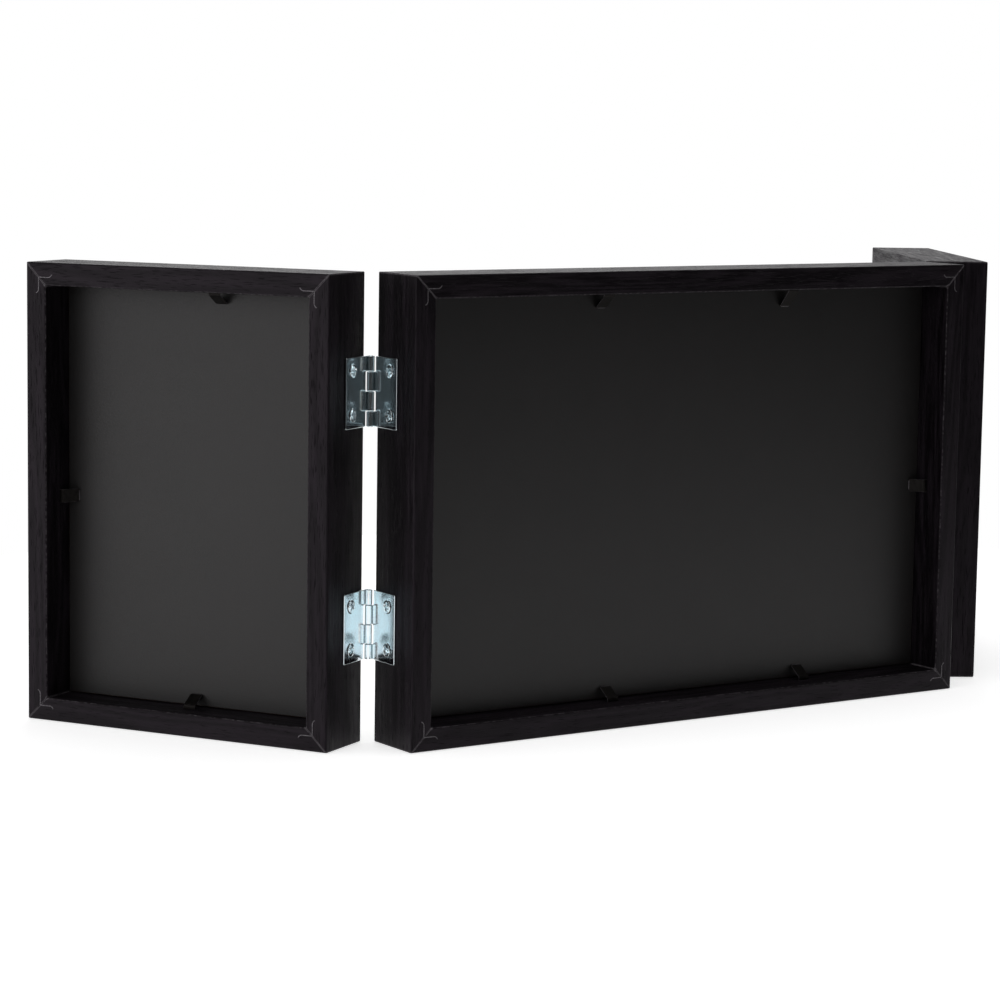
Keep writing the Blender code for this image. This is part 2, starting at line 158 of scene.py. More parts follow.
class MouldingSizes(bpy.types.PropertyGroup):
    """Sizes of the rails, their mitres and the nails across them."""

    wing_width: length_value("Wing width", "Outer width of a wing", 0.1504)
    back_width: length_value("Back width", "Width of a rail's back face", 0.0100)
    lip_overhang: length_value("Lip overhang", "How far the lip covers the glass", 0.0050)
    lip_thickness: length_value("Lip thickness", "Front face to the glass seat", 0.0076)
    face_flat: length_value("Front flat", "Flat front before it falls to the sight edge", 0.0095)
    sight_drop: length_value("Sight drop", "How far the front falls by the sight edge", 0.0024)
    face_round: length_value("Front edge radius", "Radius of the outer front edge", 0.0005)
    face_blend: length_value("Front blend", "Radius where the front starts to fall", 0.0035)
    sight_round: length_value("Sight edge radius", "Radius of the edge round the picture", 0.0006)
    back_round: length_value("Back edge radius", "Radius of the back edges", 0.0008)
    mitre_gap: length_value("Mitre gap", "Open joint between two rails", 0.00008)
    mitre_ease: length_value("Mitre ease", "Broken edge on each side of a mitre", 0.00016)
    nail_arm: length_value("Nail arm", "Straight arm of a corner nail", 0.0050)
    nail_curl: length_value("Nail curl", "Radius of the curl at the end of an arm", 0.0019)
    nail_thickness: length_value("Nail thickness", "Thickness of the nail's strip", 0.00042)
    nail_proud: length_value("Nail proud", "How far a nail stands out of the wood", 0.00006)


class GlazingSizes(bpy.types.PropertyGroup):
    """Sizes of the sheets and of the tabs that hold them."""

    glass_ease: length_value("Glass arris", "Ground edge of the glass", 0.0003)
    board_ease: length_value("Board edge radius", "Soft edge of the backing board", 0.0004)
    card_thickness: length_value("Card thickness", "Plain card behind the glass", 0.00010)
    corner_radius: length_value("Sheet corner radius", "Corner of each cut sheet", 0.0005)
    tab_width: length_value("Tab width", "Width of a bent tab", 0.0058)
    tab_thickness: length_value("Tab thickness", "Thickness of a bent tab", 0.0004)
    tab_driven: length_value("Tab driven length", "Length inside the wood", 0.0060)
    tab_root: length_value("Tab root height", "Height of a tab's slot above the board", 0.0066)
    tab_straight: length_value("Tab straight", "Straight length before the bend", 0.0006)
    tab_bend_radius: length_value("Tab bend radius", "Radius of the bend", 0.0015)
    tab_rest: length_value("Tab rest gap", "Gap between the tab's tip and the board", 0.0002)
    tab_edge: length_value("Tab edge radius", "Rounding of the sheared edges", 0.00009)


class HingeSizes(bpy.types.PropertyGroup):
    """Sizes of the butt hinges and their screws."""

    height: length_value("Hinge height", "Height of a leaf", 0.0300)
    end_inset: length_value("Hinge inset", "Panel end to the hinge's near end", 0.0355)
    leaf_on_rail: length_value("Leaf on rail", "Leaf width that lies on the rail", 0.0168)
    leaf_thickness: length_value("Leaf thickness", "Thickness of the sheet", 0.0008)
    leaf_corner: length_value("Leaf corner radius", "Radius of the free corners", 0.0006)
    leaf_edge: length_value("Leaf edge radius", "Rounding of the sheared edges", 0.00026)
    knuckle_radius: length_value("Knuckle radius", "Outer radius of the curl", 0.0017)
    end_knuckle: length_value("End knuckle length", "Length of the first and last knuckles", 0.0066)
    knuckle_gap: length_value("Knuckle gap", "Gap between two knuckles", 0.0002)
    notch_gap: length_value("Notch gap", "Gap beside a knuckle in the other leaf", 0.0008)
    notch_round: length_value("Notch radius", "Radius of a notch's inner corners", 0.0006)
    curl_slit: length_value("Curl slit", "Gap between the curl's end and the leaf", 0.0003)
    pin_radius: length_value("Pin radius", "Radius of the hinge pin", 0.00082)
    pin_proud: length_value("Pin proud", "How far the pin stands out", 0.0002)
    pin_round: length_value("Pin end radius", "Rounding of the pin's ends", 0.0003)
    screw_length: length_value("Screw length", "Rim of the head to the point", 0.0085)
    screw_spacing: length_value("Screw spacing", "Between the two screws of a leaf", 0.0187)
    screw_edge: length_value("Screw edge distance", "Leaf's free edge to the screws", 0.0056)
    head_radius: length_value("Screw head radius", "Radius of the countersunk head", 0.00275)
    shank_radius: length_value("Screw shank radius", "Radius of the shank", 0.0015)
    head_dome: length_value("Screw dome", "Height of the head's low dome", 0.00055)
    rim_round: length_value("Screw rim radius", "Rounding of the head's rim", 0.0002)
    head_proud: length_value("Screw proud", "How far a head's rim stands off its leaf", 0.0003)
    sink_gap: length_value("Countersink gap", "Gap round the head in its countersink", 0.00035)
    recess_span: length_value("Recess span", "Tip to tip across the cross recess", 0.0039)
    recess_arm: length_value("Recess arm", "Width of one arm of the cross recess", 0.0011)
    recess_depth: length_value("Recess depth", "Depth of the cross recess", 0.0010)


class FrameColours(bpy.types.PropertyGroup):
    """Colours of the finishes."""

    stain: colour_value("Stain", "Black stain on the open wood", "080508")
    stain_pale: colour_value("Pale stain", "Dense late wood that took less stain", "1F1A1F")
    pore: colour_value("Pore", "Stain pooled in the open pores", "050405")
    # Pale bare wood on broken edges, also used as a painted highlight along each rail's inner back
    # arris
    wear_and_highlight: colour_value("Bare wood", "Broken edges where the stain is thin", "7C777B")
    board: colour_value("Board", "Dark grey face of the hardboard", "1E1C1C")
    board_edge: colour_value("Board edge", "Brown core at the board's sawn edge", "4A372C")
    card: colour_value("Card", "Plain card behind the glass", "ECE8DF")
    glass: colour_value("Glass", "Faint green of float glass", "F9FCFA")
    plated: colour_value("Plated steel", "Bright zinc plate with a blue cast", "E7F3F7")
    tab: colour_value("Tab steel", "Oiled spring steel", "242221")
    nail: colour_value("Nail steel", "Bright edge of a nail", "767276")
    floor: colour_value("Floor", "Pale studio floor", "F2F2F2")


# Meshes


def unit(vectors):
    """Vectors divided by their own lengths."""
    return vectors / np.linalg.norm(vectors, axis=-1, keepdims=True)


def rounded(corners, steps):
    """A closed outline from (x, y, radius) corners.

    A corner becomes an arc about the point on its bisector at radius / sin(half the angle),
    at steps + 1 even angles from one tangent point to the other.
    """
    points = []
    for k, (x, y, radius) in enumerate(corners):
        here = np.array((x, y))
        if radius == 0:
            points.append(here[None])
            continue
        before = unit(np.array(corners[k - 1][:2]) - here)
        after = unit(np.array(corners[(k + 1) % len(corners)][:2]) - here)
        half = math.acos(float(before @ after)) / 2
        middle = here + unit(before + after) * radius / math.sin(half)
        first, last = (here + way * radius / math.tan(half) - middle for way in (before, after))
        start = math.atan2(first[1], first[0])
        sweep = (math.atan2(last[1], last[0]) - start + math.pi) % (2 * math.pi) - math.pi
        turn = start + sweep * np.linspace(0, 1, steps + 1)
        points.append(middle + radius * np.stack((np.cos(turn), np.sin(turn)), 1))
    return np.concatenate(points)


def rounded_box(x, y, radius, steps):
    """A closed outline of a rectangle about the origin, from its half sizes, with round corners."""
    return rounded([(-x, -y, radius), (x, -y, radius), (x, y, radius), (-x, y, radius)], steps)


def outline_normals(outline):
    """Outward unit normals of a closed outline: the chord of each point's neighbours, turned."""
    chord = np.roll(outline, -1, 0) - np.roll(outline, 1, 0)
    x, y = outline.T
    area = float(np.sum(x * np.roll(y, -1) - np.roll(x, -1) * y))
    return unit(np.stack((chord[:, 1], -chord[:, 0]), 1)) * math.copysign(1, area)


def ring_faces(rings, around):
    """Faces between closed rings of points laid out row by row, with a face to close each end."""
    row = np.arange(rings - 1)[:, None] * around
    here = np.arange(around)[None]
    following = (here + 1) % around
    above = row + around
    quads = np.stack((row + here, row + following, above + following, above + here), -1)
    last = (rings - 1) * around
    return quads.reshape(-1, 4), [list(range(around))[::-1], list(range(last, last + around))]


def enclosed(points, quads):
    """Six times the volume that the faces enclose, by summed triple products about the middle."""
    a, b, c, d = (points[quads[:, k]] - points.mean(0) for k in range(4))
    return float(np.sum(a * np.cross(b, c)) + np.sum(a * np.cross(c, d)))


def solid(name, grid, values=None):
    """A closed mesh from a grid of rings, its faces outward, with values kept at its points."""
    rings, around = grid.shape[:2]
    points = grid.reshape(-1, 3)
    quads, ends = ring_faces(rings, around)
    faces = quads.tolist() + ends
    if enclosed(points, quads) < 0:
        faces = [face[::-1] for face in faces]
    mesh = bpy.data.meshes.new(name)
    mesh.from_pydata(points.tolist(), [], faces)
    for key, value in (values or {}).items():
        kept = value.reshape(rings * around, -1).astype(np.float32)
        kind = "FLOAT_VECTOR" if kept.shape[1] == 3 else "FLOAT"
        field = mesh.attributes.new(key, kind, "POINT")
        field.data.foreach_set("vector" if kind == "FLOAT_VECTOR" else "value", kept.ravel())
    return mesh


def turned(profile, segments):
    """Rings of a profile of (radius, height) points turned about Z."""
    turn = np.linspace(0, 2 * math.pi, segments, endpoint=False)
    radius, height = profile[:, :1], profile[:, 1:]
    flat = np.ones_like(turn)
    return np.stack((radius * np.cos(turn), radius * np.sin(turn), height * flat), -1)


def linked(name, data):
    """A new object with its data, in the scene."""
    item = bpy.data.objects.new(name, data)
    bpy.context.scene.collection.objects.link(item)
    return item


def finished(name, mesh, matrix, build, body, replaces=None, sharp=35):
    """Puts a mesh in its place and adds it as a piece that rides on its body."""
    mesh.transform(matrix)
    mesh.materials.clear()
    mesh.materials.append(kept_material(build))
    mesh.shade_smooth()
    mesh.set_sharp_from_angle(angle=math.radians(sharp))
    piece = linked(name, mesh)
    even = piece.modifiers.new("even_normals", "WEIGHTED_NORMAL")
    even.keep_sharp = True
    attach(piece, body)
    if replaces:
        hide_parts(replaces)
    return piece


# Places


def panel_width(panel, moulding):
    """Outer width of a panel."""
    return CENTRE_WIDTH if panel == "centre" else moulding.wing_width


def axis_place(panel):
    """Place of a wing's hinge axis with the wings opened flat."""
    return Matrix.Translation((JOINTS[panel]["pos_m"][0], JOINTS[panel]["pos_m"][1], 0))


def swing(panel):
    """Turn of a wing about its axis from flat to the standing pose."""
    fold = math.radians(JOINTS[panel]["range_deg"][0])
    return Matrix.Rotation(FACING[panel] * fold, 4, "Z")


def panel_place(panel, moulding):
    """Place of a panel's own frame: middle of its underside, mid depth."""
    if panel == "centre":
        return Matrix.Identity(4)
    out = AXIS_OFFSET + moulding.wing_width / 2
    offset = Matrix.Translation((FACING[panel] * out, AXIS_PROUD - FRONT, 0))
    return axis_place(panel) @ swing(panel) @ offset


def rail_place(side, width):
    """Place of a rail in its panel: X runs along the rail and Z points inward."""
    turn, x, z = {
        "bottom": (0, 0, 0),
        "top": (math.pi, 0, PANEL_HEIGHT),
        "left": (math.pi / 2, -width / 2, PANEL_HEIGHT / 2),
        "right": (-math.pi / 2, width / 2, PANEL_HEIGHT / 2),
    }[side]
    return Matrix.Translation((x, 0, z)) @ Matrix.Rotation(turn, 4, "Y")


# Materials


def set_sockets(node, sockets):
    """Sets a node's sockets: another node's output is linked, any other value is set."""
    for key, value in sockets.items():
        if isinstance(value, bpy.types.NodeSocket):
            node.id_data.links.new(value, node.inputs[key])
        else:
            node.inputs[key].default_value = value


def add_node(tree, kind, sockets=(), out=0, **settings):
    """Adds a node with its settings and its sockets, by name or in order, and gives an output."""
    node = tree.nodes.new("ShaderNode" + kind)
    for key, value in settings.items():
        setattr(node, key, value)
    set_sockets(node, sockets if isinstance(sockets, dict) else dict(enumerate(sockets)))
    return node.outputs[out]


def new_material(name):
    """A material, its Principled shader and the call that adds a node beside it."""
    material = bpy.data.materials.new(name)
    material.use_nodes = True
    tree = material.node_tree
    return material, tree.nodes["Principled BSDF"], partial(add_node, tree)


def cells(add, place, size, detail=2, rough=0.5):
    """Soft cells from 0 to 1 of a real size in metres: noise of the place divided by that size."""
    share = add("VectorMath", (place, np.broadcast_to(size, 3)), operation="DIVIDE")
    values = {"Vector": share, "Scale": 1, "Detail": detail, "Roughness": rough}
    return add("TexNoise", values, "Fac")


def marked(add, name, near, uneven):
    """A mark kept at the mesh's points: its near span, broken up by the uneven one's pattern."""
    mark = add("MapRange", (add("Attribute", out="Fac", attribute_name=name), *near))
    return add("Math", (mark, add("MapRange", uneven)), operation="MULTIPLY")


def laid_over(add, ground, *coats):
    """The ground's colour under coats of (share, colour), each mixed over what lies below it."""
    colour = (*ground, 1)
    for share, coat in coats:
        colour = add("Mix", {0: share, 6: colour, 7: (*coat, 1)}, 2, data_type="RGBA")
    return colour


def black_stained_ash(colours):
    """Planed ash under a black stain: dull sheen, grey late-wood lines, open pores, pale worn
    edges, a painted highlight on the inner arris.
    """
    material, shader, add = new_material("black_stained_ash")
    place = add("Attribute", out="Vector", attribute_name="rail_place")
    # Growth rings: contours of a slow noise, drawn out along the rail as in flat-sawn boards
    figure = cells(add, place, (0.180, 0.018, 0.015), 1)
    rings = add("Math", (add("Math", (figure, 54), operation="MULTIPLY"),), operation="SINE")
    streaks = cells(add, place, (0.024, 0.0014, 0.0011), 3, 0.6)
    late = add("Math", (rings, 0.16, streaks), operation="MULTIPLY_ADD")
    late = add("MapRange", (late, 0.38, 0.76))
    # Pores are 0.1 mm wide and 2 to 5 mm long; drawn 0.45 mm wide so that they show
    pores = add("MapRange", (cells(add, place, (0.0060, 0.00045, 0.00045), 1), 0.60, 0.70))
    pooled = add("Math", (pores, 0.75), operation="MULTIPLY")
    # Bare wood shows in the mitre and where the saw splintered a corner; along the inner arris the
    # pale coat is worn bare wood and a painted highlight
    ragged = cells(add, place, 0.0016)
    torn = cells(add, place, 0.0050, 1)
    wear_and_highlight = 0
    for name, near, uneven in (
            ("mitre_distance", (0.00015, 0.00075, 0.70, 0), (ragged, 0.30, 0.50, 0.25, 1)),
            # The inner arris: pale bare wood and a painted highlight, strongest at the middle of
            # the arris
            ("arris", (0, 1, 0, 0.45), (ragged, 0.42, 0.72)),
            ("corner_distance", (0.0009, 0.0020, 1, 0), (torn, 0.45, 0.60))):
        wear_and_highlight = add("Math", (marked(add, name, near, uneven), wear_and_highlight), operation="MAXIMUM")
    sheen = add("MapRange", (streaks, 0.3, 0.7, 0.34, 0.62))
    relief = add("Math", (pores, -2, streaks), operation="MULTIPLY_ADD")
    set_sockets(shader, {
        # The last coat is pale worn wood, and along the inner arris also a painted highlight
        "Base Color": laid_over(add, colours.stain, (late, colours.stain_pale),
                                (pooled, colours.pore), (wear_and_highlight, colours.wear_and_highlight)),
        "Roughness": add("Math", (pores, 0.25, sheen), operation="MULTIPLY_ADD"),
        "Specular IOR Level": 0.15,
        "Specular Tint": (1, 0.90, 1, 1),
        "Normal": add("Bump", {"Height": relief, "Distance": 0.00005}),
    })
    return material


def dark_hardboard(colours):
    """Pressed fibreboard with a dark grey face: matt, faint fibre mottling, brown sawn edges."""
    material, shader, add = new_material("dark_faced_hardboard")
    place = add("TexCoord", out="Object")
    clouds = cells(add, place, 0.030)
    fibres = cells(add, place, 0.0009, 3, 0.6)
    mottle = add("MapRange", (add("Math", (clouds, fibres), operation="ADD"), 0.70, 1.30))
    sawn = marked(add, "sawn_edge", (0, 1), (fibres, 0.2, 0.6, 0.6, 1))
    set_sockets(shader, {
        "Base Color": laid_over(add, np.multiply(colours.board, 0.72), (mottle, colours.board),
                                (sawn, colours.board_edge)),
        "Roughness": add("MapRange", (fibres, 0.3, 0.7, 0.42, 0.54)),
        "Specular IOR Level": 0.4,
        "Normal": add("Bump", {"Height": fibres, "Distance": 0.00005}),
    })
    return material


def float_glass(colours):
    """Clear float glass: mirror-smooth with a trace of wiping marks; lamps pass through it."""
    material, shader, add = new_material("clear_float_glass")
    wipes = cells(add, add("TexCoord", out="Object"), (0.060, 0.060, 0.012), 3)
    set_sockets(shader, {
        "Base Color": (*colours.glass, 1),
        "Roughness": add("MapRange", (wipes, 0.45, 0.75, 0, 0.05)),
        "Transmission Weight": 1,
        "IOR": 1.5,
    })
    lamps = add("LightPath", out="Is Shadow Ray")
    both = add("MixShader", (lamps, shader.outputs[0], add("BsdfTransparent")))
    set_sockets(material.node_tree.nodes["Material Output"], {"Surface": both})
    return material


def plain_card(colours):
    """Uncoated picture card: off-white, matt, with a short paper fibre."""
    material, shader, add = new_material("plain_card")
    fibres = cells(add, add("TexCoord", out="Object"), 0.0008, 4, 0.6)
    set_sockets(shader, {
        "Base Color": laid_over(add, np.multiply(colours.card, 0.90),
                                (add("MapRange", (fibres, 0.35, 0.65)), colours.card)),
        "Roughness": 0.85,
        "Normal": add("Bump", {"Height": fibres, "Distance": 0.00003}),
    })
    return material


def zinc_plated_steel(colours):
    """Rolled steel with bright zinc plate: near mirror, blue cast, faint rolling lines and haze."""
    material, shader, add = new_material("bright_zinc_plated_steel")
    place = add("TexCoord", out="Object")
    tint = add("MapRange", (cells(add, place, (0.006, 0.006, 0.009)), 0.40, 0.70))
    # Rolling lines are under 0.1 mm apart; drawn 0.3 mm apart so that they show
    lines = cells(add, place, (0.0003, 0.0003, 0.012))
    haze = cells(add, place, 0.0020)
    dull = add("Math", (haze, 1.5, lines), operation="MULTIPLY_ADD")
    warmer = np.multiply(colours.plated, (0.99, 0.95, 0.95))
    set_sockets(shader, {
        "Base Color": laid_over(add, colours.plated, (tint, warmer)),
        "Metallic": 1,
        "Roughness": add("MapRange", (dull, 0.75, 2.00, 0.09, 0.17)),
        "Normal": add("Bump", {"Height": lines, "Distance": 0.000003}),
    })
    return material


def oiled_spring_steel(colours):
    """Blue-black spring strip: dark, satin, rubbed bright along its sheared edges."""
    material, shader, add = new_material("oiled_spring_steel")
    haze = cells(add, add("TexCoord", out="Object"), 0.0015, 3)
    cut = marked(add, "sheared_edge", (0, 1), (haze, 0.3, 0.6, 0.3, 0.9))
    set_sockets(shader, {
        "Base Color": laid_over(add, np.multiply(colours.tab, 0.55),
                                (add("MapRange", (haze, 0.35, 0.65)), colours.tab),
                                (cut, colours.nail)),
        "Metallic": 1,
        "Roughness": add("MapRange", (haze, 0.3, 0.7, 0.46, 0.62)),
        "Normal": add("Bump", {"Height": haze, "Distance": 0.000008}),
    })
    return material


def cut_nail_steel(colours):
    """Bare strip steel, seen on its sheared upper edge: pale, slightly rusty grey."""
    material, shader, add = new_material("bare_strip_steel")
    grit = cells(add, add("TexCoord", out="Object"), 0.0007, 3)
    set_sockets(shader, {
        "Base Color": laid_over(add, np.multiply(colours.nail, 0.45),
                                (add("MapRange", (grit, 0.38, 0.62)), colours.nail)),
        "Metallic": 0.7,
        "Roughness": add("MapRange", (grit, 0.3, 0.7, 0.45, 0.65)),
        "Normal": add("Bump", {"Height": grit, "Distance": 0.00002}),
    })
    return material


@cache
def kept_material(build):
    """The material that a function makes, made once."""
    return build(bpy.context.scene.frame_colours)


# Rails


def moulding_corners(moulding):
    """The moulding's section: x inward from the outer side, y front to back, and each radius."""
    sight = moulding.back_width + moulding.lip_overhang
    seat = FRONT + moulding.lip_thickness
    return [
        (0, FRONT, moulding.face_round),
        (moulding.face_flat, FRONT, moulding.face_blend),
        (sight, FRONT + moulding.sight_drop, moulding.sight_round),
        (sight, seat, 0),
        (moulding.back_width, seat, 0),
        (moulding.back_width, BACK, moulding.back_round),
        (0, BACK, moulding.back_round),
    ]


def rail_mesh(name, length, moulding, seed):
    """One rail: the section carried along X between two mitre planes.

    A point at inward distance d lies at X = t (length / 2 - d - half the gap), with t from -1
    to 1. At each end the section is drawn in by the ease, which breaks the mitre's edges.
    """
    outline = rounded(moulding_corners(moulding), 10)
    shares = np.concatenate(([-1], np.linspace(-1, 1, 13), [1]))[:, None]
    section = np.repeat(outline[None], len(shares), 0)
    section[[0, -1]] -= outline_normals(outline) * moulding.mitre_ease
    ease = np.full_like(shares, moulding.mitre_ease)
    ease[[0, -1]] = 0
    inward, depth = section[..., 0], section[..., 1]
    reach = length / 2 - moulding.mitre_gap * math.sqrt(2) / 2
    grid = np.stack((shares * (reach - inward - ease), depth, inward), -1)
    mitre = length / 2 - inward - np.abs(grid[..., 0])
    # How far each point lies from the back's inner edge, across it and in depth. The nearer of the
    # two is nothing on the flats and most at the middle of the rounded arris, where it places a
    # pale coat of worn bare wood and a painted highlight
    off_edge = np.abs(outline[:, 0] - moulding.back_width), BACK - outline[:, 1]
    arris = np.minimum(*off_edge) / (moulding.back_round * (1 - math.cos(math.pi / 4)))
    inner = (off_edge[1] < moulding.back_round) & (outline[:, 0] > moulding.back_width / 2)
    return solid(name, grid, {
        "rail_place": grid + seed * GRAIN_STEP,
        "mitre_distance": mitre,
        # Mark for the pale inner-arris coat: worn bare wood and a painted highlight
        "arris": np.broadcast_to(np.clip(arris, 0, 1) * inner, mitre.shape),
        "corner_distance": mitre + sum(off_edge),
    })


class TRIFOLD_OT_rails(bpy.types.Operator):
    """Makes the twelve mitred rails of the three panels"""

    bl_idname = "trifold.rails"
    bl_label = "Mitred Rails"

    def execute(self, context):
        moulding = context.scene.frame_moulding
        seed = 0
        for panel in BODIES:
            width = panel_width(panel, moulding)
            for side in SIDES:
                seed += 1
                length = width if side in ("top", "bottom") else PANEL_HEIGHT
                mesh = rail_mesh(f"{panel}_{side}", length, moulding, seed)
                place = panel_place(panel, moulding) @ rail_place(side, width)
                node = f"{panel}_rail_{side}"
                finished(f"{node}_wood", mesh, place, black_stained_ash,
                         BODIES[panel], node)
        return {"FINISHED"}


def nail_path(arm, curl):
    """A corner nail from above, its bend at the origin and its arms along +X and +Y.

    Each arm is straight for its length and then turns away from the other arm on an arc
    of 70 degrees.
    """
    turn = np.radians(np.linspace(0, 70, 7)[1:])
    straight = np.linspace(NAIL_BEND, arm, 6)
    along = np.concatenate((straight, arm + curl * np.sin(turn)))
    aside = np.concatenate((0 * straight, curl * (np.cos(turn) - 1)))
    first = np.stack((along, aside), 1)[::-1]
    second = np.stack((aside, along), 1)
    return np.concatenate((first, second))


def carried(path, section):
    """A section of (across, up) points carried along a path in X and Z, with up along Y.

    Each point is the path's point plus across times the path's left normal.
    """
    way = unit(np.gradient(path, axis=0))
    left = np.stack((-way[:, 1], way[:, 0]), 1)
    flat = path[:, None] + left[:, None] * section[None, :, :1]
    up = np.broadcast_to(section[None, :, 1], flat.shape[:2])
    return np.stack((flat[..., 0], up, flat[..., 1]), -1)


class TRIFOLD_OT_corner_nails(bpy.types.Operator):
    """Drives one V-shaped nail across each mitre from the back"""

    bl_idname = "trifold.corner_nails"
    bl_label = "Corner Nails"

    def execute(self, context):
        moulding = context.scene.frame_moulding
        half = moulding.nail_thickness / 2
        top = moulding.nail_proud
        edge = half / 3
        section = np.array(((-half, -NAIL_DEPTH), (-half, top - edge), (edge - half, top),
                            (half - edge, top), (half, top - edge), (half, -NAIL_DEPTH)))
        path = nail_path(moulding.nail_arm, moulding.nail_curl)
        for panel, corners in NAIL_SHARES.items():
            width = panel_width(panel, moulding)
            for corner, share in corners.items():
                row, side = corner.split("_")
                driven = share * moulding.back_width
                grid = carried(path + driven, section)
                grid[..., 1] += BACK
                grid[..., 0] = (grid[..., 0] - width / 2) * (1 if side == "left" else -1)
                if row == "top":
                    grid[..., 2] = PANEL_HEIGHT - grid[..., 2]
                name = f"{panel}_nail_{corner}"
                finished(name, solid(name, grid), panel_place(panel, moulding),
                         cut_nail_steel, BODIES[panel])
        return {"FINISHED"}


# Glass, card and backing board


def sheet_mesh(name, size, ease, corner):
    """A flat sheet (width, thickness, height): a rounded rectangle carried through its thickness.

    Its rim turns on a quarter circle of the ease's radius at each face.
    """
    width, thickness, height = size
    ease = min(ease, thickness / 2)
    turn = np.radians(np.linspace(0, 90, 5))
    inset = ease * (1 - np.cos(turn))
    depth = thickness / 2 - ease + ease * np.sin(turn)
    insets = np.concatenate((inset[::-1], inset))
    depths = np.concatenate((-depth[::-1], depth))
    outline = rounded_box(width / 2, height / 2, corner, 4)
    inward = outline_normals(outline)
    flat = outline[None] - inward[None] * insets[:, None, None]
    up = np.broadcast_to(depths[:, None], flat.shape[:2])
    grid = np.stack((flat[..., 0], up, flat[..., 1]), -1)
    rim = np.broadcast_to((insets < ease / 2).astype(float)[:, None], flat.shape[:2])
    return solid(name, grid, {"sawn_edge": rim})


class TRIFOLD_OT_glazing(bpy.types.Operator):
    """Lays glass, plain card and backing board in each panel"""

    bl_idname = "trifold.glazing"
    bl_label = "Glass, Card and Board"

    def execute(self, context):
        moulding, glazing = context.scene.frame_moulding, context.scene.frame_glazing
        centre_width = GLASS_HIGH.x - GLASS_LOW.x
        height = GLASS_HIGH.z - GLASS_LOW.z
        gap = BOARD_LOW.y - GLASS_HIGH.y
        card = min(glazing.card_thickness, gap / 2)
        layers = (
            ("glass", "pane", GLASS_LOW.y, GLASS_HIGH.y, glazing.glass_ease,
             float_glass, "glazing"),
            ("card", None, GLASS_HIGH.y + gap / 2 - card / 2, GLASS_HIGH.y + gap / 2 + card / 2,
             card / 4, plain_card, None),
            ("backing_board", "hardboard", BOARD_LOW.y, BOARD_HIGH.y, glazing.board_ease,
             dark_hardboard, "hardboard"),
        )
        for panel in BODIES:
            width = panel_width(panel, moulding) - CENTRE_WIDTH + centre_width
            for part, suffix, low, high, ease, build, slot in layers:
                node = f"{panel}_{part}"
                mesh = sheet_mesh(node, (width, high - low, height), ease, glazing.corner_radius)
                place = Matrix.Translation((0, (low + high) / 2, PANEL_HEIGHT / 2))
                finished(f"{node}_{suffix}" if suffix else node, mesh,
                         panel_place(panel, moulding) @ place, build,
                         BODIES[panel], node if suffix else None)
        return {"FINISHED"}


def tab_mesh(name, glazing, bend):
    """A bent strip: in its own frame X runs across it, Z inward from the rail, Y out of the back.

    Its middle line is level through the wood, turns down on an arc and runs straight to the
    board. The half width narrows on a quarter ellipse at the free tip and on a slope where
    it was driven in.
    """
    half = glazing.tab_thickness / 2
    root, radius = glazing.tab_root, glazing.tab_bend_radius
    turn = np.linspace(0, bend, 9)
    drop = root - glazing.tab_rest - half * math.cos(bend) - radius * (1 - math.cos(bend))
    arm = drop / math.sin(bend)
    level = np.linspace(-glazing.tab_driven, 0, 7)
    lean = np.linspace(0, 1, 15)[1:] * arm
    bent = np.stack((np.sin(turn), np.cos(turn) - 1), 1) * radius + (glazing.tab_straight, root)
    path = np.concatenate((np.stack((level, 0 * level + root), 1), bent,
                           bent[-1] + lean[:, None] * np.array((math.cos(bend), -math.sin(bend)))))
    way = unit(np.gradient(path, axis=0))
    across = np.stack((-way[:, 1], way[:, 0]), 1)
    travelled = np.concatenate(([0], np.cumsum(np.linalg.norm(np.diff(path, axis=0), axis=1))))
    travelled /= glazing.tab_width
    to_tip = np.clip((travelled[-1] - travelled) / TAB_TIP_LENGTH, 0, 1)
    narrow = TAB_TIP + (1 - TAB_TIP) * np.sqrt(1 - (1 - to_tip) ** 2)
    narrow *= np.clip(TAB_ROOT + travelled / TAB_ROOT_LENGTH, 0, 1)
    edge, wide = glazing.tab_edge, glazing.tab_width / 2
    section = rounded_box(wide, half, edge, 3)
    x = section[None, :, 0] * narrow[:, None]
    flat = path[:, None] + across[:, None] * section[None, :, 1:]
    sheared = np.clip((np.abs(section[:, 0]) - wide + edge) / edge, 0, 1)
    sheared = np.broadcast_to(sheared, x.shape).copy()
    sheared[-1] = 1
    return solid(name, np.stack((x, flat[..., 1], flat[..., 0]), -1), {"sheared_edge": sheared})


class TRIFOLD_OT_tabs(bpy.types.Operator):
    """Drives the bent tabs that hold the boards down"""

    bl_idname = "trifold.tabs"
    bl_label = "Board Tabs"

    def execute(self, context):
        moulding, glazing = context.scene.frame_moulding, context.scene.frame_glazing
        for panel, rails in TAB_SHARES.items():
            width = panel_width(panel, moulding)
            for side, shares in rails.items():
                for share in shares:
                    node = f"{panel}_tab_{side}"
                    if len(shares) > 1:
                        node += "_left" if share == min(shares) else "_right"
                    frame_of_rail = rail_place(side, width)
                    spot = Matrix.Translation(((share - 0.5) * width, 0, share * PANEL_HEIGHT))
                    along = (frame_of_rail.inverted() @ spot.translation).x
                    seat = Matrix.Translation((along, BOARD_HIGH.y, moulding.back_width))
                    bend = TAB_BEND_SPREAD * math.sin(TAB_BEND_RATE * share + len(node))
                    mesh = tab_mesh(node, glazing, math.radians(TAB_BEND + bend))
                    place = panel_place(panel, moulding) @ frame_of_rail @ seat
                    finished(f"{node}_strip", mesh, place, oiled_spring_steel,
                             BODIES[panel], node)
        return {"FINISHED"}


# Hinges

# Turns a part made along +Z to point out of a leaf's face, along -X
QUARTER_BACK = Matrix.Rotation(-math.pi / 2, 4, "Y")


